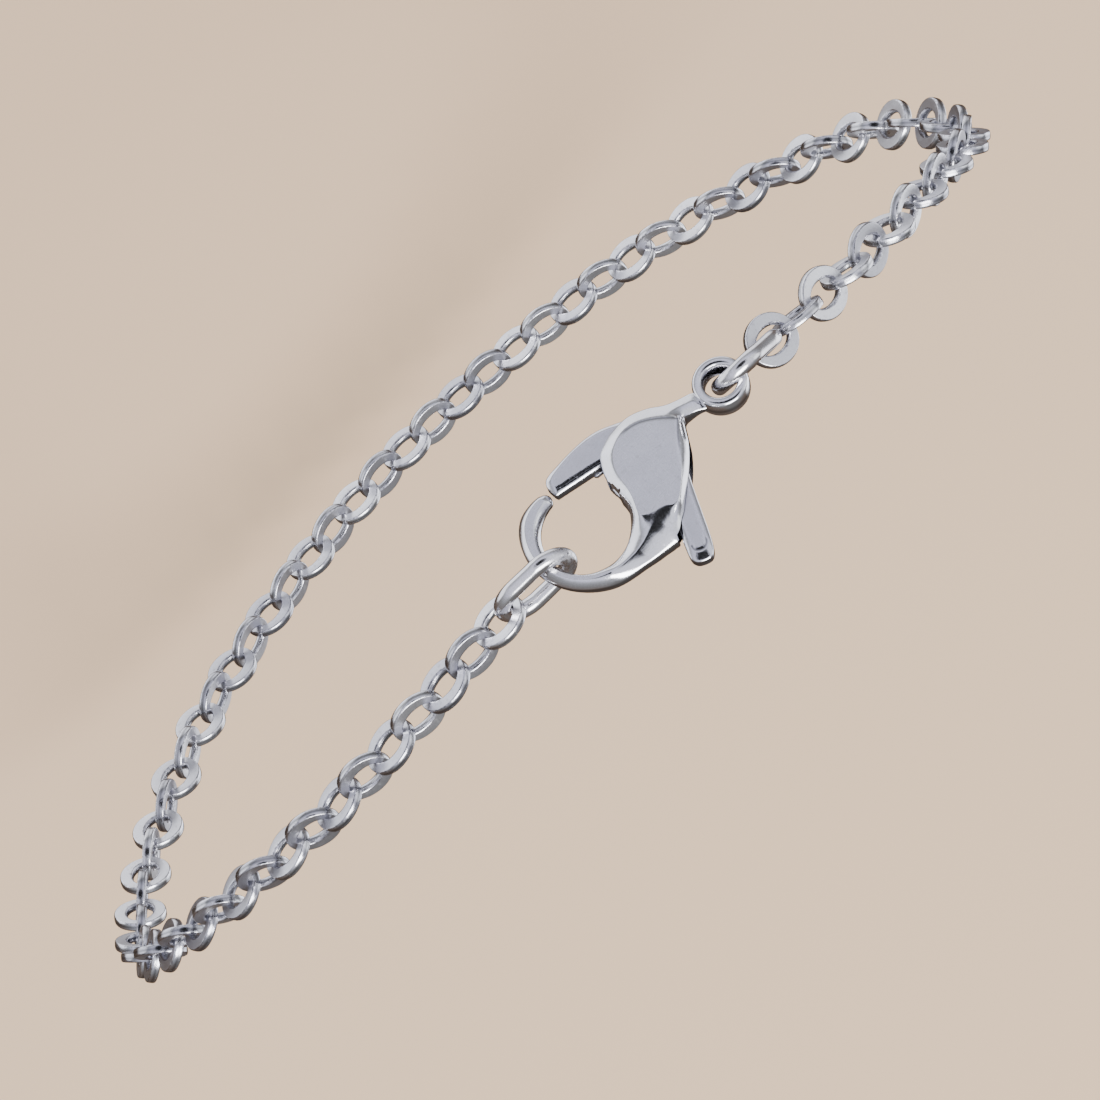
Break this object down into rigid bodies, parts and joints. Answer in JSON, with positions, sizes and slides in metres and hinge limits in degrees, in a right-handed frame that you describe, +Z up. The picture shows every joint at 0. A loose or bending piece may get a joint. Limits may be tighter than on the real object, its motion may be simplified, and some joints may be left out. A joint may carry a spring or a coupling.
{
  "type": "cable chain bracelet",
  "caption": "Polished white-metal bracelet: flattened oval cable links in a loop round the wrist, closed by a trigger clasp with a sprung gate lever between two round-wire end links.",
  "frame": {"origin": "Middle of the opening that the wrist fills, the centre of the chain's oval at the clasp's level along the arm.", "axes": "+Z runs up to the clasp, +X across the loop from the claw to the clasp's ring, +Y along the forearm."},
  "size_m": [0.0592, 0.0156, 0.05],
  "materials": {
    "polished_metal": "polished white metal, fine scratches",
    "lever_metal": "polished white metal, softer shine"
  },
  "bodies": {
    "loop": {"chain": "polished_metal", "clasp_body": "polished_metal", "end_link_claw": "polished_metal", "end_link_ring": "polished_metal"},
    "lever": {"clasp_lever": "lever_metal"}
  },
  "joints": [
    {"name": "lever_pivot", "type": "hinge", "parent": "loop", "child": "lever", "pos_m": [0.00206, 0.0006, 0.02301], "axis": [0, 0.4226, 0.9063], "range_deg": [0, 18], "stiffness_Nm_per_rad": 0.002, "springref_deg": -11.46}
  ]
}
